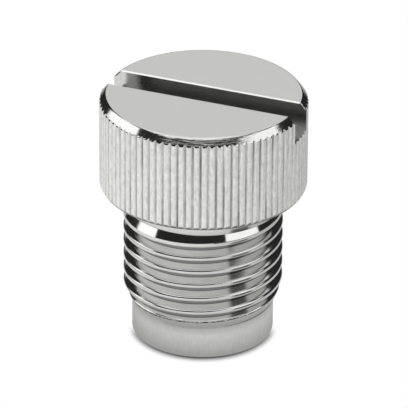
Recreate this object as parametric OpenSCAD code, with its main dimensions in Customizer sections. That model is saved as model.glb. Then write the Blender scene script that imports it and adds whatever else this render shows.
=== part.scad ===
// Threaded plug: a slotted, knurled head on a short shank with a right-hand thread.
// Turned from one bar. All lengths are in millimetres, all angles in degrees.
// The axis is z, the tip rests on z = 0 and the slotted face is at the top.

/* [Head] */
// Diameter over the knurled teeth
head_diameter = 20.4; // [18:0.1:24]
// Length of the head along the axis
head_length = 9.77; // [6:0.01:14]
// How far the top chamfer cuts in from the side
head_chamfer_width = 0.65; // [0.3:0.05:1.5]
// How far the top chamfer reaches down
head_chamfer_height = 0.8; // [0.3:0.05:1.5]
// How far the lower edge is cut in from the side
lower_chamfer_width = 0.2; // [0.05:0.05:0.5]
// How far the cut of the lower edge reaches up
lower_chamfer_height = 0.35; // [0.05:0.05:0.8]

/* [Knurl] */
// Number of teeth round the head
knurl_teeth = 84; // [40:1:96]
// Width of one valley at the tooth tops
valley_width = 0.42; // [0.26:0.02:0.52]
// Width of the flat floor of one valley
valley_floor_width = 0.08; // [0.06:0.02:0.18]
// Depth of the valleys
valley_depth = 0.14; // [0.1:0.01:0.3]
// Turn of the first valley from the x axis
knurl_turn = 2.8; // [0:0.05:4.3]

/* [Slot] */
// Width of the screwdriver slot
slot_width = 3.1; // [1.6:0.1:4]
// Depth of the screwdriver slot
slot_depth = 2.9; // [1.5:0.05:4.5]
// Turn of the slot from the x axis
slot_turn = -21.3; // [-90:0.1:90]

/* [Collar and relief] */
// Length of the plain collar under the head
collar_length = 1.76; // [0.8:0.01:3]
// Size of the bevel on the collar's lower edge
collar_bevel = 0.12; // [0.05:0.01:0.3]
// Diameter at the bottom of the relief groove
relief_diameter = 14.1; // [12.6:0.1:14.1]
// Width of the relief groove along the axis
relief_width = 0.6; // [0.4:0.01:2.4]

/* [Thread] */
// Diameter over the thread crests
thread_diameter = 15.75; // [15.5:0.01:16]
// Rise of the thread in one turn
thread_pitch = 1.5; // [1:0.25:1.75]
// Width of the flat crest as a part of the pitch
crest_part = 0.26; // [0.15:0.01:0.32]
// Width of the flat root as a part of the pitch
root_part = 0.13; // [0.08:0.01:0.2]
// Height of the lowest full crest at the front, which faces -y
crest_height = 5.44; // [4.6:0.01:6]
// How far the thread's upper end is cut in from the side
entry_width = 0.15; // [0.05:0.01:0.6]
// How far the cut of the thread's upper end reaches down
entry_height = 1.3; // [0.4:0.01:1.6]

/* [Tip] */
// Diameter of the plain tip
tip_diameter = 14; // [12.8:0.05:14]
// Length of the plain cylinder of the tip
tip_length = 3.15; // [2:0.05:4]
// Length of the cone from the tip up to the thread crests
lead_length = 2.1; // [1:0.05:3]
// Bevel round the tip's end face
tip_bevel = 0.08; // [0.05:0.01:0.4]

/* [Whole] */
// Height of the whole plug
total_height = 25.6; // [24:0.1:30]

/* [Hidden] */
// cutters run past the faces they open by this much
over = 0.5;
head_radius = head_diameter / 2;
thread_radius = thread_diameter / 2;
tip_radius = tip_diameter / 2;
relief_radius = relief_diameter / 2;
head_bottom = total_height - head_length;
collar_bottom = head_bottom - collar_length;
shoulder_height = collar_bottom - relief_width;
lead_top = tip_length + lead_length;
// the flanks stand at 60 degrees to each other, so each rises by half its depth times 2 tan 30
flank_height = thread_pitch * (1 - crest_part - root_part) / 2;
flank_depth = flank_height / tan(30);
root_radius = thread_radius - flank_depth;
// the cutter's section reaches past the crests along the line of its flanks
reach = 0.05;
mouth_half = thread_pitch * (1 - crest_part) / 2 + reach * tan(30);
root_half = thread_pitch * root_part / 2;
// a valley's sides run on past the tooth tops at the same slope
valley_reach = 0.15;
valley_slope = (valley_width - valley_floor_width) / 2 / valley_depth;
valley_mouth_half = valley_width / 2 + valley_slope * valley_reach;
// the helical cutter starts in the air beside the tip and is cut off level inside the relief
turn_steps = 60;
groove_start = crest_height - 1.5 * thread_pitch;
groove_end = shoulder_height + mouth_half;
cutter_top = (shoulder_height + collar_bottom) / 2;
groove_steps = ceil((groove_end - groove_start) / thread_pitch * turn_steps);

// the four corners of the cutter's section at one step of the helix
function section_at(i) =
    let (a = -90 + 360 * i / turn_steps)
    let (z = groove_start + thread_pitch * i / turn_steps)
    [
        [root_radius * cos(a), root_radius * sin(a), z - root_half],
        [(thread_radius + reach) * cos(a), (thread_radius + reach) * sin(a), z - mouth_half],
        [(thread_radius + reach) * cos(a), (thread_radius + reach) * sin(a), z + mouth_half],
        [root_radius * cos(a), root_radius * sin(a), z + root_half]
    ];

// two triangles for each of the four sides of one step
function step_faces(i) = [
    for (k = [0:3])
        let (a = 4 * i + k)
        let (b = 4 * i + (k + 1) % 4)
        each [[a, b, b + 4], [a, b + 4, a + 4]]
];

// the screw-shaped groove of the right-hand thread, as a solid to be cut away
module thread_cutter() {
    points = [for (i = [0:groove_steps]) each section_at(i)];
    last = 4 * groove_steps;
    faces = concat(
        [[3, 2, 1], [3, 1, 0]],
        [for (i = [0:groove_steps - 1]) each step_faces(i)],
        [[last, last + 1, last + 2], [last, last + 2, last + 3]]
    );
    intersection() {
        polyhedron(points = points, faces = faces, convexity = 10);
        cylinder(r = thread_radius + over, h = cutter_top);
    }
}

// the turned shank: tip, lead cone, thread blank, relief groove and collar
module shank() {
    rotate_extrude($fn = 180)
        polygon([
            [0, 0],
            [tip_radius - tip_bevel, 0],
            [tip_radius, tip_bevel],
            [tip_radius, tip_length],
            [thread_radius, lead_top],
            [thread_radius, shoulder_height - entry_height],
            [thread_radius - entry_width, shoulder_height],
            [relief_radius, shoulder_height],
            [relief_radius, collar_bottom],
            [thread_radius - collar_bevel, collar_bottom],
            [thread_radius, collar_bottom + collar_bevel],
            [thread_radius, head_bottom + over],
            [0, head_bottom + over]
        ]);
}

// the turned head with its two chamfers, before knurling
module head() {
    rotate_extrude($fn = 252)
        polygon([
            [0, head_bottom],
            [head_radius - lower_chamfer_width, head_bottom],
            [head_radius, head_bottom + lower_chamfer_height],
            [head_radius, total_height - head_chamfer_height],
            [head_radius - head_chamfer_width, total_height],
            [0, total_height]
        ]);
}

// one straight valley of the knurl, wider at the tooth tops than at its floor
module valley() {
    translate([0, 0, head_bottom - over])
        linear_extrude(height = head_length + 2 * over)
            polygon([
                [head_radius - valley_depth, -valley_floor_width / 2],
                [head_radius + valley_reach, -valley_mouth_half],
                [head_radius + valley_reach, valley_mouth_half],
                [head_radius - valley_depth, valley_floor_width / 2]
            ]);
}

// the slot for a broad screwdriver, right across the head
module slot() {
    rotate([0, 0, slot_turn])
        translate([-head_radius - over, -slot_width / 2, total_height - slot_depth])
            cube([head_diameter + 2 * over, slot_width, slot_depth + over]);
}

module plug() {
    color([0.72, 0.71, 0.69])
        difference() {
            union() {
                head();
                shank();
            }
            thread_cutter();
            for (i = [0:knurl_teeth - 1])
                rotate([0, 0, knurl_turn + 360 * i / knurl_teeth])
                    valley();
            slot();
        }
}

plug();
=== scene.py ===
from math import asin, cos, pi, radians, sin, tan

import bmesh
import bpy
import numpy as np
from mathutils import Matrix, Vector


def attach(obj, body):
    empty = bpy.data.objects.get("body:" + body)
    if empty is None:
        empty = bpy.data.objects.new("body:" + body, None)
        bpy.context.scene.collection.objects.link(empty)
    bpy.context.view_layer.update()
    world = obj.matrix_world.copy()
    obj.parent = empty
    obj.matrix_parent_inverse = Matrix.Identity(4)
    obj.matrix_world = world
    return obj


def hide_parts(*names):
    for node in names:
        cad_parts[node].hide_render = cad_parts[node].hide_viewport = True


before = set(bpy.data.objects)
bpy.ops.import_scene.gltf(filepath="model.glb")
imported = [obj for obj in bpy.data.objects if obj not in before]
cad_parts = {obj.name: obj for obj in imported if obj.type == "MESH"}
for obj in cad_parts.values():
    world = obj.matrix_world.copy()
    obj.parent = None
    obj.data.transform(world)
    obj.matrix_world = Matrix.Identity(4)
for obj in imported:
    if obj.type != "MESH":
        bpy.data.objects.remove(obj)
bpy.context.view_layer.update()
scene = bpy.context.scene
millimetre = 0.001
print("frame loaded")


# camera: looks down at the plug with a long lens, as the photograph does
viewSet = {
    "aim": (0.075, 0.0, 13.38),  # mm
    "elevation": 28.015,
    "distance": 472.3,
    "lens": 423.5,
    "sensor": 36.0,
    "roll": 0.358,
}


def makeCamera(s):
    lens = bpy.data.cameras.new("camera")
    lens.lens, lens.sensor_width = s["lens"], s["sensor"]
    lens.clip_start, lens.clip_end = 0.01, 20.0
    camera = bpy.data.objects.new("camera", lens)
    scene.collection.objects.link(camera)
    lift = radians(s["elevation"])
    back = Vector((0.0, -cos(lift), sin(lift)))
    turn = (-back).to_track_quat("-Z", "Y").to_matrix() @ Matrix.Rotation(radians(s["roll"]), 3, "Z")
    place = (Vector(s["aim"]) + back * s["distance"]) * millimetre
    camera.matrix_world = Matrix.Translation(place) @ turn.to_4x4()
    scene.camera = camera


makeCamera(viewSet)
print("camera placed")


# plug: every size in millimetres, heights above the tip's end
plugSet = {
    "top": 25.6,
    "headRadius": 10.2,
    "headBottom": 15.83,
    "chamferWidth": 0.65,
    "chamferHeight": 0.8,
    "rimBevelWidth": 0.2,
    "rimBevelHeight": 0.35,
    "collarBottom": 14.07,
    "collarRadius": 7.9,
    "collarBevel": 0.07,
    "reliefRadius": 7.05,
    "shoulder": 13.47,
    "tipRadius": 7.0,
    "tipTop": 3.15,
    "tipBevel": 0.08,
    "edgeRound": 0.12,  # how far the fine rounding of an edge reaches to both sides
}
knurlSet = {
    "teeth": 84,
    "turn": 2.8,  # degrees from x to the middle of a valley
    "valleyDepth": 0.17,
    "valleyHalf": 0.24,  # half the width of a valley at the tooth tops
    "crown": 0.15,  # the part of the depth that a tooth's top falls away by
    "columns": (0, 0.1, 0.2, 0.315, 0.685, 0.8, 0.9),  # parts of a tooth, from the middle of a valley
    "apart": 0.04,  # a column closer to a corner of the slot than this part of a tooth is left out
    "seamTooth": 20,  # the columns start at this valley, out of the photograph's sight
}
slotSet = {
    "width": 3.1,
    "depth": 2.9,
    "turn": -21.3,
    "bevel": 0.12,
    "bevelGrowth": 3,  # the bevel is full after one part in this many of the chamfer
    "bulgeDrop": 0.1,  # the bevel is rounded in full from this far below the face
    "bendNormal": (0.38, 0.92),  # outwards and up, where the chamfer bends into the face
}
threadSet = {
    "radius": 7.875,
    "pitch": 1.5,
    "crestPart": 0.26,
    "rootPart": 0.13,
    "flankAngle": 30,  # between a flank and the plane across the axis
    "crestHeight": 5.44,  # the lowest full crest at the front
    "leadTop": 5.25,
    "leadMatt": (4.9, 0.004),  # the cone has the tip's finish up to this height, and this deep
    "mouthMargin": 0.05,  # a flank is sought this far past the groove's mouth
    "entryWidth": 0.03,
    "entryHeight": 1.3,
    "crestRound": (0.1, 0.15),  # how far a crest is rounded from its upper and its lower edge
    "lastEdge": 13.155,  # the last crest's upper edge at the front
    "coneAngle": 30,  # of the run-out above it
    "coneSpan": (100, 150),  # degrees from the front: the cone is full up to the first, gone at the second
}

# rim: the tooth tops' radius, less a cosine's hump in each valley and a low wave of one tooth
toothAngle = 2 * pi / knurlSet["teeth"]


def rimRadius(angle):
    fromValley = (angle - radians(knurlSet["turn"]) + toothAngle / 2) % toothAngle - toothAngle / 2
    across = np.minimum(np.abs(fromValley) * plugSet["headRadius"] / knurlSet["valleyHalf"], 1.0)
    hump, wave = 0.5 + 0.5 * np.cos(pi * across), 0.5 + 0.5 * np.cos(2 * pi * fromValley / toothAngle)
    crown = knurlSet["crown"]
    return plugSet["headRadius"] - knurlSet["valleyDepth"] * ((1 - crown) * hump + crown * wave)


def chamferHeightAt(radius):
    # the top chamfer is a cone: it drops by its height over its width
    inner = plugSet["headRadius"] - plugSet["chamferWidth"]
    return plugSet["top"] - plugSet["chamferHeight"] * (radius - inner) / plugSet["chamferWidth"]


def rimBevelAt(radius):
    # the bevel under the rim is a cone that rises by its height over its width
    inner = plugSet["headRadius"] - plugSet["rimBevelWidth"]
    return plugSet["headBottom"] + plugSet["rimBevelHeight"] * (radius - inner) / plugSet["rimBevelWidth"]


# columns: the same few steps in every tooth, with the slot's four corners put in
slotTurn = radians(slotSet["turn"])
slotHalf = slotSet["width"] / 2
slotFloor = plugSet["top"] - slotSet["depth"]


def slotCorner(base, side):
    # the angle from the slot's line at which its wall on one side leaves the knurled rim
    corner = asin(slotHalf / plugSet["headRadius"])
    for _ in range(40):
        corner = asin(slotHalf / rimRadius(base + side * corner))
    return corner


corners = {(end, side): slotCorner(slotTurn + end * pi, side) for end in (0, 1) for side in (1, -1)}
seam = radians(knurlSet["turn"]) + knurlSet["seamTooth"] * toothAngle
slack = 1e-6  # angles this close are the same


def ringAngles():
    steps = np.arange(knurlSet["teeth"])[:, None] + np.array(knurlSet["columns"])
    even = seam + toothAngle * np.append(steps.ravel(), knurlSet["teeth"])
    put = np.array([slotTurn + end * pi + side * corner for (end, side), corner in corners.items()])
    put = (put - seam) % (2 * pi) + seam
    nearest = np.abs(even[:, None] - put[None, :]).min(axis=1)
    return np.sort(np.concatenate([even[nearest > knurlSet["apart"] * toothAngle], put]))


angles = ringAngles()


def polar(radius, angle, height):
    # a point from its radius, its angle and its height, on whole arrays
    radius, angle, height = np.broadcast_arrays(radius, angle, height)
    return np.stack([radius * np.cos(angle), radius * np.sin(angle), height], axis=-1)


def turned(rows):
    # a profile of (radius, height) rows carried round the axis; a row may differ from column to column
    return np.stack([polar(radius, angles, height) for radius, height in rows])


def arc(start, corner, end, steps):
    # a rounded corner: the curve that leaves the first line, bends at the corner and joins the second
    t = np.linspace(0, 1, steps + 1)[:, None]
    return (1 - t) ** 2 * np.array(start) + 2 * t * (1 - t) * np.array(corner) + t ** 2 * np.array(end)


# thread: its groove climbs one pitch a turn and is cut from a blank of cone, cylinder and cone
flankSlope = tan(radians(threadSet["flankAngle"]))
flankRise = threadSet["pitch"] * (1 - threadSet["crestPart"] - threadSet["rootPart"]) / 2
rootRadius = threadSet["radius"] - flankRise / flankSlope
rootHalf = threadSet["pitch"] * threadSet["rootPart"] / 2
mouthHalf = threadSet["pitch"] * (1 - threadSet["crestPart"]) / 2 + threadSet["mouthMargin"]


def blankRadius(height):
    t = threadSet
    return np.interp(
        height,
        [plugSet["tipTop"], t["leadTop"], plugSet["shoulder"] - t["entryHeight"], plugSet["shoulder"]],
        [plugSet["tipRadius"], t["radius"], t["radius"], t["radius"] - t["entryWidth"]],
    )


def grooveRadius(height, middle):
    # flat at the root, then out along flanks that stand at 60 degrees to each other
    return rootRadius + np.maximum(np.abs(height - middle) - rootHalf, 0) / flankSlope


def meetingHeight(outside, inside, middle):
    # the height at which a flank meets the blank, found by halving the span between outside and inside
    for _ in range(30):
        half = (outside + inside) / 2
        cut = blankRadius(half) > grooveRadius(half, middle)
        outside, inside = np.where(cut, outside, half), np.where(cut, half, inside)
    return (outside + inside) / 2


def threadRows(ceiling):
    # for each turn of the groove a set of rows that follow the helix; they are held at the blank's ends
    pitch, (overUpper, overLower) = threadSet["pitch"], threadSet["crestRound"]
    first = threadSet["crestHeight"] - 1.5 * pitch + pitch * (angles + pi / 2) / (2 * pi)
    # enough turns to reach past both ends all the way round
    turns = [first + pitch * k for k in range(-1, 7)]
    heights, radii = [], []
    upperEdge = None
    for middle in turns:
        top = middle + rootHalf
        bites = blankRadius(top) > rootRadius
        low = np.where(bites, meetingHeight(middle - mouthHalf, top, middle), top)
        high = np.where(bites, meetingHeight(middle + mouthHalf, top, middle), top)
        easeLow, easeHigh = (np.minimum(over, (high - low) / 6) for over in (overUpper, overLower))
        rootLow, rootHigh = np.clip(middle - rootHalf, low, high), np.clip(top, low, high)
        if upperEdge is not None:
            land = (upperEdge + low - easeLow) / 2
            for bend in (threadSet["leadTop"], plugSet["shoulder"] - threadSet["entryHeight"]):
                land = np.where((upperEdge < bend) & (low - easeLow > bend), bend, land)
            heights.append(land)
            radii.append(blankRadius(land))
        for side, edge, root, ease in ((-1, low, rootLow, easeLow), (1, high, rootHigh, easeHigh)):
            onLand = edge + side * ease
            onFlank = edge - side * np.minimum(np.minimum(ease, overUpper) / 2, np.abs(edge - root) / 2)
            # one more row close to the edge keeps the rest of the flank plain
            nearEdge = onFlank + 0.12 * (root - onFlank)
            landRadius, edgeRadius = blankRadius(onLand), blankRadius(edge)
            flankRadius = np.minimum(grooveRadius(onFlank, middle), edgeRadius)
            rows = [
                (onLand, landRadius),
                ((onLand + 2 * edge + onFlank) / 4, (landRadius + 2 * edgeRadius + flankRadius) / 4),
                (onFlank, flankRadius),
                (nearEdge, np.minimum(grooveRadius(nearEdge, middle), edgeRadius)),
                (root, np.minimum(grooveRadius(root, middle), edgeRadius)),
            ]
            for height, radius in rows[::-side]:
                heights.append(height)
                radii.append(radius)
        upperEdge = high + easeHigh
    heights, radii = np.array(heights), np.array(radii)
    bottom = plugSet["tipTop"]
    atTop = np.minimum(blankRadius(ceiling), np.min([grooveRadius(ceiling, m) for m in turns], axis=0))
    radii = np.where(heights > ceiling, atTop, np.where(heights < bottom, plugSet["tipRadius"], radii))
    ends = [(np.full_like(atTop, bottom), np.full_like(atTop, plugSet["tipRadius"]))]
    ends += list(zip(np.clip(heights, bottom, ceiling), radii))
    ends += [(ceiling, atTop)]
    return [(radius, height) for height, radius in ends], atTop


# shell: grids are gathered with the name of their finish, then joined into one closed surface
shellSet = {
    "weld": 0.0001,  # points closer than this become one
    "sharpAngle": 42,
    "normalWeight": 50,
}
finishes = ["end", "tip", "thread", "relief", "collar", "underside", "knurl", "chamfer", "face", "slot"]
gathered = {"points": [], "faces": [], "finish": [], "count": 0}


def addGrid(points, finish, elsewhere=None):
    # elsewhere: another finish and the places where it holds
    rows, columns = points.shape[:2]
    index = np.arange(rows * columns).reshape(rows, columns) + gathered["count"]
    quads = np.stack([index[:-1, :-1], index[:-1, 1:], index[1:, 1:], index[1:, :-1]], axis=-1)
    quads = quads.reshape(-1, 4)
    gathered["points"].append(points.reshape(-1, 3))
    gathered["faces"].append(quads)
    chosen = np.full(len(quads), finishes.index(finish))
    if elsewhere is not None:
        other, here = elsewhere
        whole = here[:-1, :-1] & here[:-1, 1:] & here[1:, 1:] & here[1:, :-1]
        chosen[whole.ravel()] = finishes.index(other)
    gathered["finish"].append(chosen)
    gathered["count"] += rows * columns


def addBand(low, high, parts, finish):
    # rows from one ring to another, each ring given by its radius and height
    rows = [(low[0] + (high[0] - low[0]) * t, low[1] + (high[1] - low[1]) * t) for t in parts]
    addGrid(turned(rows), finish)


def addShank():
    s = plugSet
    tip, bevel, ease = s["tipRadius"], s["tipBevel"], s["edgeRound"]
    addGrid(turned([(r, 0.0) for r in np.linspace(0, tip - bevel, 4)]), "end")
    addGrid(turned(arc((tip - bevel, 0), (tip, 0), (tip, bevel), 3)), "tip")
    addGrid(turned([(tip, z) for z in np.linspace(bevel, s["tipTop"], 5)]), "tip")
    relief, shoulder, under = s["reliefRadius"], s["shoulder"], s["collarBottom"]
    # the run-out: in front a cone climbs from the last crest to the collar, at the back is a plain groove
    fromFront = (angles + pi / 2 + pi) % (2 * pi) - pi
    lastEdge = threadSet["lastEdge"] + threadSet["pitch"] * fromFront / (2 * pi)
    full, gone = (radians(v) for v in threadSet["coneSpan"])
    share = np.clip((gone - np.abs(fromFront)) / (gone - full), 0, 1)
    share = share * share * (3 - 2 * share)
    start = shoulder + (lastEdge - shoulder) * share
    rows, atTop = threadRows(start)
    thread = turned(rows)
    radius, height = np.hypot(thread[..., 0], thread[..., 1]), thread[..., 2]
    mattTop, mattDepth = threadSet["leadMatt"]
    onLead = (height < mattTop) & (radius > blankRadius(height) - mattDepth)
    addGrid(thread, "thread", ("tip", onLead))
    # where there is no cone, its first tenth is the groove's lower wall
    coneTop = atTop - (under - start) * tan(radians(threadSet["coneAngle"]))
    stepRadius = relief + (0.9 * atTop + 0.1 * coneTop - relief) * share
    stepHeight = shoulder + (0.9 * start + 0.1 * under - shoulder) * share
    topRadius = relief + (coneTop - relief) * share
    collar, edge = s["collarRadius"], s["collarBevel"]
    addBand((atTop, start), (stepRadius, stepHeight), (0, 0.05, 0.5, 0.95, 1), "relief")
    addBand((stepRadius, stepHeight), (topRadius, under), (0, 0.05, 0.5, 0.95, 1), "relief")
    addBand((topRadius, under), (collar - edge, under), (0, 0.03, 0.5, 0.98, 1), "underside")
    addGrid(turned(arc((collar - edge, under), (collar, under), (collar, under + edge), 3)), "collar")
    headBottom = s["headBottom"]
    addGrid(turned([(collar, z) for z in np.linspace(under + edge, headBottom - ease, 4)]), "collar")
    fillet = arc((collar, headBottom - ease), (collar, headBottom), (collar + ease, headBottom), 2)
    addGrid(turned(fillet), "collar")
    rim = s["headRadius"] - s["rimBevelWidth"]
    addGrid(turned([(r, headBottom) for r in np.linspace(collar + ease, rim, 4)]), "underside")
    knurled = rimRadius(angles)
    cone = [rim + (knurled - rim) * t for t in np.linspace(0, 1, 4)]
    addGrid(turned([(r, rimBevelAt(r)) for r in cone]), "knurl")
    addBand((knurled, rimBevelAt(knurled)), (knurled, slotFloor), (0, 0.01, 0.25, 0.5, 0.75, 1), "knurl")


def addLobe(end):
    # one half of the head: rim, chamfer and face are shared out evenly between the slot's two corners
    s, bevel, ease = plugSet, slotSet["bevel"], plugSet["edgeRound"]
    base, first, last = slotTurn + end * pi, corners[end, 1], corners[1 - end, -1]
    local = np.unique(np.round((angles - base) % (2 * pi), 9))
    local = local[(local > first - slack) & (local < pi - last + slack)]
    share = (local - first) / (pi - first - last)
    rim = rimRadius(local + base)
    rimFirst, rimLast = slotHalf / sin(first), slotHalf / sin(last)
    flatRadius = s["headRadius"] - s["chamferWidth"]
    slope = np.array([s["chamferWidth"], -s["chamferHeight"]])
    slope = slope / np.hypot(*slope)
    fractions = np.array([0, 0.25, 0.5, 0.75, 0.98, 1])
    sideTop = chamferHeightAt(rim)
    side = [(rim, local, slotFloor + (sideTop - slotFloor) * f) for f in fractions]

    def bevelAt(part):
        # along the chamfer the bevel grows from nothing to its full size
        return bevel * min(slotSet["bevelGrowth"] * part, 1)

    def ring(radius, atFirst, atLast, height, offset):
        # its ends lie beyond the slot's walls by the offset
        away = slotHalf + offset
        start, stop = asin(away / atFirst), asin(away / atLast)
        return radius, start + share * (pi - start - stop), height

    outer = flatRadius + slope[0] * ease
    chamfer = []
    chamferSteps = 5
    for t in np.linspace(0, 1, chamferSteps + 1):
        radius, atFirst, atLast = (r + (outer - r) * t for r in (rim, rimFirst, rimLast))
        chamfer.append(ring(radius, atFirst, atLast, chamferHeightAt(radius), bevelAt(t)))
    rounded = arc((outer, chamferHeightAt(outer)), (flatRadius, s["top"]), (flatRadius - ease, s["top"]), 3)
    edge = [ring(radius, radius, radius, height, bevel) for radius, height in rounded]
    for rings, finish in ((side, "knurl"), (chamfer, "chamfer"), (edge, "chamfer")):
        addGrid(np.stack([polar(radius, angle + base, height) for radius, angle, height in rings]), finish)
    innermost, innerAngle, _ = edge[-1]
    along, across = innermost * np.cos(innerAngle), innermost * np.sin(innerAngle)
    chord = slotHalf + bevel
    parts = (0, 0.02, 0.3, 0.6, 0.97, 1)
    sheet = [slotPoint(along, across + (chord - across) * t, s["top"], base) for t in parts]
    addGrid(np.stack(sheet), "face")
    # the slot's edge: the rings' end points, in their first and their last column, and the face's straight
    # edge between them, each with the place below it where the bevel meets the wall
    onCone, onTop = (-slope[1], slope[0]), (0, 1)
    normals = [onCone] * (len(chamfer) + 1) + [slotSet["bendNormal"]] + [onTop] * (len(edge) - 3)
    sides = {0: [], -1: []}
    for k, (radius, angle, height) in enumerate(chamfer + edge[1:]):
        radius, height = np.broadcast_to(radius, angle.shape), np.broadcast_to(height, angle.shape)
        drop = bevelAt(k / chamferSteps)
        for column, sign in ((0, 1), (-1, -1)):
            u, v = radius[column] * cos(angle[column]), radius[column] * sin(angle[column])
            inner = (u - sign * drop * normals[k][0], height[column] - drop * normals[k][1])
            sides[column].append((u, v, height[column], *inner))
    straight = [(u, chord, s["top"], u, s["top"] - bevel) for u in along[1:-1]]
    path = np.array(sides[0] + straight + sides[-1][::-1])
    outside = slotPoint(path[:, 0], path[:, 1], path[:, 2], base)
    inside = slotPoint(path[:, 3], slotHalf, path[:, 4], base)
    corner = slotPoint(path[:, 0], slotHalf, path[:, 2], base)
    # rounded across the chamfer and a plain bevel along the face
    bulge = np.clip((s["top"] - path[:, 2]) / slotSet["bulgeDrop"], 0, 1)[:, None]
    middle = (outside + inside) / 2 + bulge * (2 * corner - outside - inside) / 4
    nearOutside, nearInside = (line + 0.16 * (middle - line) for line in (outside, inside))
    addGrid(np.stack([outside, nearOutside, middle, nearInside, inside]), "chamfer")
    rise = path[:, 4] - slotFloor
    wall = [slotPoint(path[:, 3], slotHalf, slotFloor + rise * f, base) for f in fractions]
    addGrid(np.stack(wall), "slot")
    return wall[0]


def slotPoint(along, across, height, base):
    # a point from its place along the slot, across it and its height
    along, across, height = np.broadcast_arrays(along, across, height)
    turnCos, turnSin = cos(base), sin(base)
    x, y = along * turnCos - across * turnSin, along * turnSin + across * turnCos
    return np.stack([x, y, height], axis=-1)


def gapPoints(end):
    # the rim's points in one open end of the slot, at the height of its floor
    base = slotTurn + end * pi
    local = np.unique(np.round((angles - base + pi) % (2 * pi) - pi, 9))
    local = local[(local > -corners[end, -1] - slack) & (local < corners[end, 1] + slack)]
    return polar(rimRadius(local + base), local + base, slotFloor)


def addSlotFloor(rearEdge, frontEdge):
    # a sheet stretched between four edges: opposite edges are blended, and the corners, then counted twice,
    # are taken off once
    rear, front = rearEdge, frontEdge[::-1]
    right, left = gapPoints(0), gapPoints(1)[::-1]
    u = np.linspace(0, 1, len(rear))[None, :, None]
    v = np.linspace(0, 1, len(right))[:, None, None]
    between = (1 - v) * front[None] + v * rear[None] + (1 - u) * right[:, None] + u * left[:, None]
    twice = (1 - v) * ((1 - u) * front[0] + u * front[-1]) + v * ((1 - u) * rear[0] + u * rear[-1])
    addGrid(between - twice, "slot")


def joinShell(name):
    points = np.concatenate(gathered["points"]) * millimetre
    faces = np.concatenate(gathered["faces"])
    mesh = bpy.data.meshes.new(name)
    mesh.vertices.add(len(points))
    mesh.vertices.foreach_set("co", points.ravel())
    mesh.loops.add(faces.size)
    mesh.loops.foreach_set("vertex_index", faces.ravel())
    mesh.polygons.add(len(faces))
    mesh.polygons.foreach_set("loop_start", np.arange(len(faces)) * 4)
    mesh.polygons.foreach_set("material_index", np.concatenate(gathered["finish"]))
    mesh.update(calc_edges=True)
    work = bmesh.new()
    work.from_mesh(mesh)
    bmesh.ops.remove_doubles(work, verts=work.verts, dist=shellSet["weld"] * millimetre)
    bmesh.ops.recalc_face_normals(work, faces=work.faces)
    openEdges = sum(1 for edge in work.edges if not edge.is_manifold)
    work.to_mesh(mesh)
    work.free()
    mesh.shade_smooth()
    mesh.set_sharp_from_angle(angle=radians(shellSet["sharpAngle"]))
    piece = bpy.data.objects.new(name, mesh)
    scene.collection.objects.link(piece)
    print(name, "joined:", len(mesh.polygons), "faces,", openEdges, "open edges")
    return piece


addShank()
rearEdge = addLobe(0)
frontEdge = addLobe(1)
addSlotFloor(rearEdge, frontEdge)
plug = joinShell("plug_shell")
evenNormals = plug.modifiers.new("even_normals", "WEIGHTED_NORMAL")
evenNormals.mode = "FACE_AREA"
evenNormals.weight = shellSet["normalWeight"]
evenNormals.keep_sharp = True
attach(plug, "root")
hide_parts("plug")
print("plug made")


def mathMaker(nodes, links):
    # a function that adds one sum to a node tree and gives back its result
    def math(operation, *values, clamp=False):
        node = nodes.new("ShaderNodeMath")
        node.operation, node.use_clamp = operation, clamp
        for k, value in enumerate(values):
            if isinstance(value, (int, float)):
                node.inputs[k].default_value = value
            else:
                links.new(value, node.inputs[k])
        return node.outputs[0]
    return math


def rampMaker(math):
    # a function that goes from 0 to 1 as a value goes from one bound to the other, and stays there
    def ramp(value, low, high):
        return math("DIVIDE", math("SUBTRACT", value, low), high - low, clamp=True)
    return ramp


# finishes: plated metal; marks run round the axis, straight along it, or evenly; sizes in millimetres
plating = (0.72, 0.72, 0.705)
markRadius = 8.0  # marks round the axis have their true length at this radius
fineShare = 0.65  # of the fine marks in the mottling; the rest is broad clouds, four times their size
noiseSpan = (0.3, 0.7)  # the noise between these values is spread over a tone's or a roughness's span
finishSet = {
    # tone, mottling, size of the marks, their stretch and direction, roughness, its spread, their height
    "end": (0.9, 0.1, 0.15, 14, "round", 0.3, 0.1, 0.002),
    "tip": (1.24, 0.12, 0.16, 4, "straight", 0.32, 0.1, 0.002),
    "thread": (1.0, 0.1, 0.3, 6, "round", 0.11, 0.06, 0.0012),
    "relief": (1.0, 0.06, 0.2, 10, "round", 0.08, 0.05, 0.0008),
    "collar": (0.97, 0.08, 0.12, 12, "round", 0.14, 0.05, 0.0015),
    "underside": (1.0, 0.05, 0.2, 10, "round", 0.1, 0.05, 0.001),
    "knurl": (1.27, 0.24, 0.14, 5, "straight", 0.3, 0.16, 0.008),
    "chamfer": (1.0, 0.08, 0.1, 10, "round", 0.1, 0.06, 0.01),
    "face": (0.99, 0.025, 0.12, 1, "even", 0.24, 0.05, 0.0006),
    "slot": (1.0, 0.25, 0.12, 4, "round", 0.125, 0.1, 0.003),
}
# painted shade in hollows, the thread's root and the knurl's valleys: the radius up to which it is full,
# the radius from which it is gone, its tone, and its patches' size, stretch along the axis, least noise
# and contrast, or nothing if it is even
recessShadeSet = {
    "thread": (7.1, 7.16, 0.3, None),
    "knurl": (10.04, 10.14, 0.55, (0.9, 12.0, 0.3, 4.0)),
}
# painted shade on surfaces that face the floor: how fast the tone falls as a surface turns to face it, and
# what is left at least; flanks of the thread, which face down more steeply than the limit, mirror each
# other and stay bright
underShadeSet = {"tip": 0.45, "thread": 0.35, "relief": 1.3, "collar": 1.3, "knurl": 1.3}
underLeast, underLimit = 0.15, 0.8
# a dark, broken line on the lead cone along the thread's first groove, from a height in front upwards
grooveLineSet = {
    "finish": "tip",
    "height": 4.06,
    "width": 0.32,
    "soft": 0.03,
    "loss": 0.95,
    "size": 0.25,
    "span": (0.35, 0.55),  # the noise between which the line sets in
}


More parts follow.
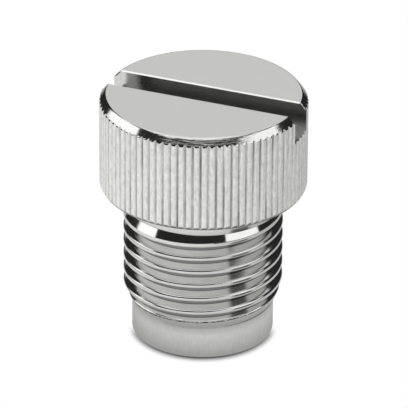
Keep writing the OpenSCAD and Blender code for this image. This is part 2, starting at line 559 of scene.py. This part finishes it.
def makeFinish(name):
    tone, mottle, size, stretch, direction, roughness, spread, height = finishSet[name]
    material = bpy.data.materials.new(name)
    material.use_nodes = True
    nodes, links = material.node_tree.nodes, material.node_tree.links
    math = mathMaker(nodes, links)
    ramp = rampMaker(math)
    shader = nodes["Principled BSDF"]
    shader.inputs["Metallic"].default_value = 1.0
    place = nodes.new("ShaderNodeTexCoord")
    parts = nodes.new("ShaderNodeSeparateXYZ")
    links.new(place.outputs["Object"], parts.inputs[0])
    x, y, z = parts.outputs
    radius = math("SQRT", math("ADD", math("MULTIPLY", x, x), math("MULTIPLY", y, y)))

    def noise(place, scale, detail):
        # noise at a place that is given as one vector or as three numbers
        node = nodes.new("ShaderNodeTexNoise")
        node.inputs["Scale"].default_value = scale / millimetre
        node.inputs["Detail"].default_value = detail
        if isinstance(place, tuple):
            joined = nodes.new("ShaderNodeCombineXYZ")
            for value, socket in zip(place, joined.inputs):
                links.new(value, socket)
            place = joined.outputs[0]
        links.new(place, node.inputs["Vector"])
        return node.outputs["Fac"]

    if direction == "round":
        turn = math("MULTIPLY", math("ARCTAN2", y, x), markRadius * millimetre / stretch)
        fine = noise((radius, z, turn), 1 / size, 3.0)
    else:
        fine = noise((x, y, math("DIVIDE", z, stretch)), 1 / size, 3.0)
    broad = noise(place.outputs["Object"], 0.25 / size, 2.0)
    both = math("ADD", math("MULTIPLY", fine, fineShare), math("MULTIPLY", broad, 1 - fineShare))

    def spreadOver(low, high):
        node = nodes.new("ShaderNodeMapRange")
        for k, value in enumerate((*noiseSpan, low, high)):
            node.inputs[k + 1].default_value = value
        links.new(both, node.inputs[0])
        return node.outputs[0]

    def lessen(value, loss):
        return math("MULTIPLY", value, math("SUBTRACT", 1.0, loss))

    shade = spreadOver(tone * (1 - mottle), tone)
    # painted shade: the thread's root and the knurl's valleys are darkened, in patches on the knurl
    if name in recessShadeSet:
        shadedTo, unshadedFrom, shadeTone, patched = recessShadeSet[name]
        loss = 1 - shadeTone
        if patched:
            patchSize, patchStretch, least, contrast = patched
            patches = noise((x, y, math("DIVIDE", z, patchStretch)), 1 / patchSize, 2.0)
            patches = math("SUBTRACT", patches, least, clamp=True)
            loss = math("MULTIPLY", patches, contrast * loss, clamp=True)
        recessShade = math("SUBTRACT", 1.0, ramp(radius, shadedTo * millimetre, unshadedFrom * millimetre))
        shade = lessen(shade, math("MULTIPLY", recessShade, loss))
    # painted shade: darker where the surface faces down
    if name in underShadeSet:
        facing = nodes.new("ShaderNodeSeparateXYZ")
        links.new(place.outputs["Normal"], facing.inputs[0])
        up = facing.outputs[2]
        down = math("MULTIPLY", math("MINIMUM", up, 0.0), math("GREATER_THAN", up, -underLimit))
        lit = math("ADD", math("MULTIPLY", down, underShadeSet[name]), 1.0)
        shade = math("MULTIPLY", shade, math("MAXIMUM", lit, underLeast))
    # a darker, broken line along the thread's first groove on the lead cone
    if name == grooveLineSet["finish"]:
        turn = math("ARCTAN2", x, math("MULTIPLY", y, -1.0))
        helix = math("MULTIPLY", turn, threadSet["pitch"] * millimetre / (2 * pi))
        above = math("SUBTRACT", math("SUBTRACT", z, helix), grooveLineSet["height"] * millimetre)
        within = math("MINIMUM", above, math("SUBTRACT", grooveLineSet["width"] * millimetre, above))
        grooveLine = ramp(within, 0.0, grooveLineSet["soft"] * millimetre)
        spots = ramp(noise(place.outputs["Object"], 1 / grooveLineSet["size"], 2.0), *grooveLineSet["span"])
        shade = lessen(shade, math("MULTIPLY", math("MULTIPLY", grooveLine, spots), grooveLineSet["loss"]))
    colour = nodes.new("ShaderNodeCombineColor")
    for k, value in enumerate(plating):
        links.new(math("MULTIPLY", shade, value), colour.inputs[k])
    links.new(colour.outputs[0], shader.inputs["Base Color"])
    links.new(spreadOver(roughness + spread / 2, roughness - spread / 2), shader.inputs["Roughness"])
    bump = nodes.new("ShaderNodeBump")
    bump.inputs["Distance"].default_value = height * millimetre
    links.new(fine, bump.inputs["Height"])
    links.new(bump.outputs[0], shader.inputs["Normal"])
    return material


for name in finishes:
    plug.data.materials.append(makeFinish(name))
print("finishes made")


# studio: white floor, cards of light in a dark room; azimuth runs from the front over the right
studioSet = {
    "room": 0.03,
    # azimuth from, to at the given elevation, their slants, elevation from, to, softness, brightness
    "slantFrom": 30,
    "cards": [
        (-180, 180, 0, 0, 76, 91, 5, 1.5),
        (-127, 98, 0, 0, 54, 80, 5, 1.5),
        (121, 127, 0, 0, 46, 58, 3, 0.8),
        (127, 233, 0, 0, 42, 80, 4, 1.2),
        (-80, -42, 0, 0, 50, 60, 3, 1.9),
        (155, 205, 0, 0, 8, 45, 6, 0.97),
        (-128, -80.8, 0, -0.8, 10, 42, 1.5, 1.8),
        (32.6, 95.5, 1.03, 1.11, 4, 46, 1.5, 1.6),
    ],
    # the floor's light on metal, with the plug's painted shadow: mean, swing, azimuth of the shaded side,
    # loss behind
    "floorDim": (0.8, 0.2, 130, 0.1),
    # the distances between which the swing sets in, and between which the light dies away
    "floorSwing": (0.012, 0.024),
    "floorFade": (0.07, 0.17),
    # painted shadow close to the plug: below the first distance it has the third value, past the second it
    # is full
    "floorNearShadow": (0.0075, 0.0135, 0.52),
    # a painted shadow patch: azimuths and their softness, distances and their softness, loss
    "floorShadowPatch": (36, 62, 6, 0.0145, 0.033, 0.002, 0.85),
    "floorRadius": 0.28,
    "floorSides": 96,
    # the contact shadow: its reach, the openness at which it is full and gone, the light that is left
    "contact": (0.00125, 0.56, 0.97, 0.03),
    # its strength at the sides and how much it gains in front, how much narrower it is at the sides
    "contactShape": (0.55, 0.42, 0.5),
    # where it sets in, as parts of the way from the side to the front or the rear
    "contactFront": (-0.1, -0.35),
    "contactRear": (0.45, 0.7),
}


def makeStudio(s):
    world = bpy.data.worlds.new("studio")
    scene.world = world
    world.use_nodes = True
    nodes, links = world.node_tree.nodes, world.node_tree.links
    nodes.clear()
    math = mathMaker(nodes, links)
    place = nodes.new("ShaderNodeTexCoord")
    parts = nodes.new("ShaderNodeSeparateXYZ")
    links.new(place.outputs["Generated"], parts.inputs[0])
    x, y, z = parts.outputs
    azimuth = math("ARCTAN2", x, math("MULTIPLY", y, -1.0))
    elevation = math("ARCSINE", z)
    total = None
    lean = math("SUBTRACT", elevation, radians(s["slantFrom"]))
    for fromAzimuth, toAzimuth, fromSlant, toSlant, fromLift, toLift, softness, brightness in s["cards"]:
        soft = radians(softness)
        middle, half = radians((fromAzimuth + toAzimuth) / 2), radians((toAzimuth - fromAzimuth) / 2)
        away = math("WRAP", math("SUBTRACT", azimuth, middle), pi, -pi)
        above = math("SUBTRACT", math("ADD", away, half + soft / 2), math("MULTIPLY", lean, fromSlant))
        below = math("ADD", math("SUBTRACT", half + soft / 2, away), math("MULTIPLY", lean, toSlant))
        inAzimuth = math("DIVIDE", math("MINIMUM", above, below), soft, clamp=True)
        middle, half = radians((fromLift + toLift) / 2), radians((toLift - fromLift) / 2)
        off = math("ABSOLUTE", math("SUBTRACT", elevation, middle))
        inLift = math("DIVIDE", math("SUBTRACT", half + soft / 2, off), soft, clamp=True)
        part = math("MULTIPLY", math("MULTIPLY", inAzimuth, inLift), brightness)
        total = part if total is None else math("MAXIMUM", total, part)
    total = math("MAXIMUM", total, s["room"])
    rays = nodes.new("ShaderNodeLightPath")
    onMetal = math("MULTIPLY", total, math("SUBTRACT", 1.0, rays.outputs["Is Camera Ray"]))
    seen = math("ADD", onMetal, rays.outputs["Is Camera Ray"])
    background = nodes.new("ShaderNodeBackground")
    links.new(seen, background.inputs["Strength"])
    output = nodes.new("ShaderNodeOutputWorld")
    links.new(background.outputs[0], output.inputs["Surface"])


makeStudio(studioSet)
scene.view_settings.view_transform = "Standard"


def makeFloor(s):
    around = np.linspace(0, 2 * pi, s["floorSides"] + 1)[:-1]
    ring = np.stack([np.cos(around), np.sin(around), 0 * around], axis=-1) * s["floorRadius"]
    mesh = bpy.data.meshes.new("floor")
    mesh.from_pydata(ring.tolist(), [], [list(range(len(ring)))])
    floor = bpy.data.objects.new("floor", mesh)
    scene.collection.objects.link(floor)
    material = bpy.data.materials.new("floor")
    material.use_nodes = True
    nodes, links = material.node_tree.nodes, material.node_tree.links
    nodes.clear()
    math = mathMaker(nodes, links)
    ramp = rampMaker(math)
    place = nodes.new("ShaderNodeNewGeometry")
    parts = nodes.new("ShaderNodeSeparateXYZ")
    links.new(place.outputs["Position"], parts.inputs[0])
    x, y = parts.outputs[:2]
    away = math("SQRT", math("ADD", math("MULTIPLY", x, x), math("MULTIPLY", y, y)))
    toBack = math("DIVIDE", y, away)
    azimuth = math("ARCTAN2", x, math("MULTIPLY", y, -1.0))
    # the light that the metal mirrors, with the plug's painted shadow: darker to one side, behind, close
    # by, in a patch
    mean, swing, dark, backLoss = s["floorDim"]
    toDark = math("ADD", math("MULTIPLY", x, sin(radians(dark))), math("MULTIPLY", y, -cos(radians(dark))))
    swung = math("MULTIPLY", ramp(away, *s["floorSwing"]), swing)
    light = math("SUBTRACT", mean, math("MULTIPLY", math("DIVIDE", toDark, away), swung))
    behind = math("MULTIPLY", math("MAXIMUM", toBack, 0.0), backLoss)
    light = math("MULTIPLY", light, math("SUBTRACT", 1.0, behind))
    near, far = s["floorFade"]
    light = math("MULTIPLY", light, ramp(away, far, near))
    close, clear, least = s["floorNearShadow"]
    rise = math("ADD", math("MULTIPLY", ramp(away, close, clear), 1 - least), least)
    light = math("MULTIPLY", light, rise)
    fromAzimuth, toAzimuth, softness, inner, outer, blur, patchLoss = s["floorShadowPatch"]
    off = math("ABSOLUTE", math("SUBTRACT", azimuth, radians((fromAzimuth + toAzimuth) / 2)))
    half = radians((toAzimuth - fromAzimuth + softness) / 2)
    patch = ramp(off, half, half - radians(softness))
    patch = math("MULTIPLY", patch, ramp(away, inner, inner + blur))
    patch = math("MULTIPLY", patch, ramp(away, outer, outer - blur))
    light = math("MULTIPLY", light, math("SUBTRACT", 1.0, math("MULTIPLY", patch, patchLoss)))
    # the contact shadow that the camera sees: broad in front and behind, gone at the sides
    reach, full, gone, left = s["contact"]
    dusk = nodes.new("ShaderNodeAmbientOcclusion")
    dusk.samples = 16
    dusk.inputs["Distance"].default_value = reach
    spread = nodes.new("ShaderNodeMapRange")
    for name, value in (("From Min", full), ("From Max", gone), ("To Min", left)):
        spread.inputs[name].default_value = value
    links.new(dusk.outputs["AO"], spread.inputs["Value"])
    strength, gain, narrowing = s["contactShape"]
    along = math("ABSOLUTE", toBack)
    cut = math("MULTIPLY", math("SUBTRACT", 1.0, along), narrowing)
    shadow = math("SUBTRACT", math("SUBTRACT", 1.0, spread.outputs["Result"]), cut)
    shadow = math("DIVIDE", shadow, math("SUBTRACT", 1.0, cut), clamp=True)
    shadow = math("MULTIPLY", shadow, math("ADD", math("MULTIPLY", along, gain), strength))
    ends = math("MAXIMUM", ramp(toBack, *s["contactFront"]), ramp(toBack, *s["contactRear"]))
    shadow = math("MULTIPLY", shadow, ends)
    rays = nodes.new("ShaderNodeLightPath")
    onMetal = math("MULTIPLY", light, math("SUBTRACT", 1.0, rays.outputs["Is Camera Ray"]))
    toCamera = math("MULTIPLY", math("SUBTRACT", 1.0, shadow), rays.outputs["Is Camera Ray"])
    seen = math("ADD", toCamera, onMetal)
    glow = nodes.new("ShaderNodeEmission")
    links.new(seen, glow.inputs["Strength"])
    output = nodes.new("ShaderNodeOutputMaterial")
    links.new(glow.outputs[0], output.inputs["Surface"])
    mesh.materials.append(material)


makeFloor(studioSet)
print("studio made")
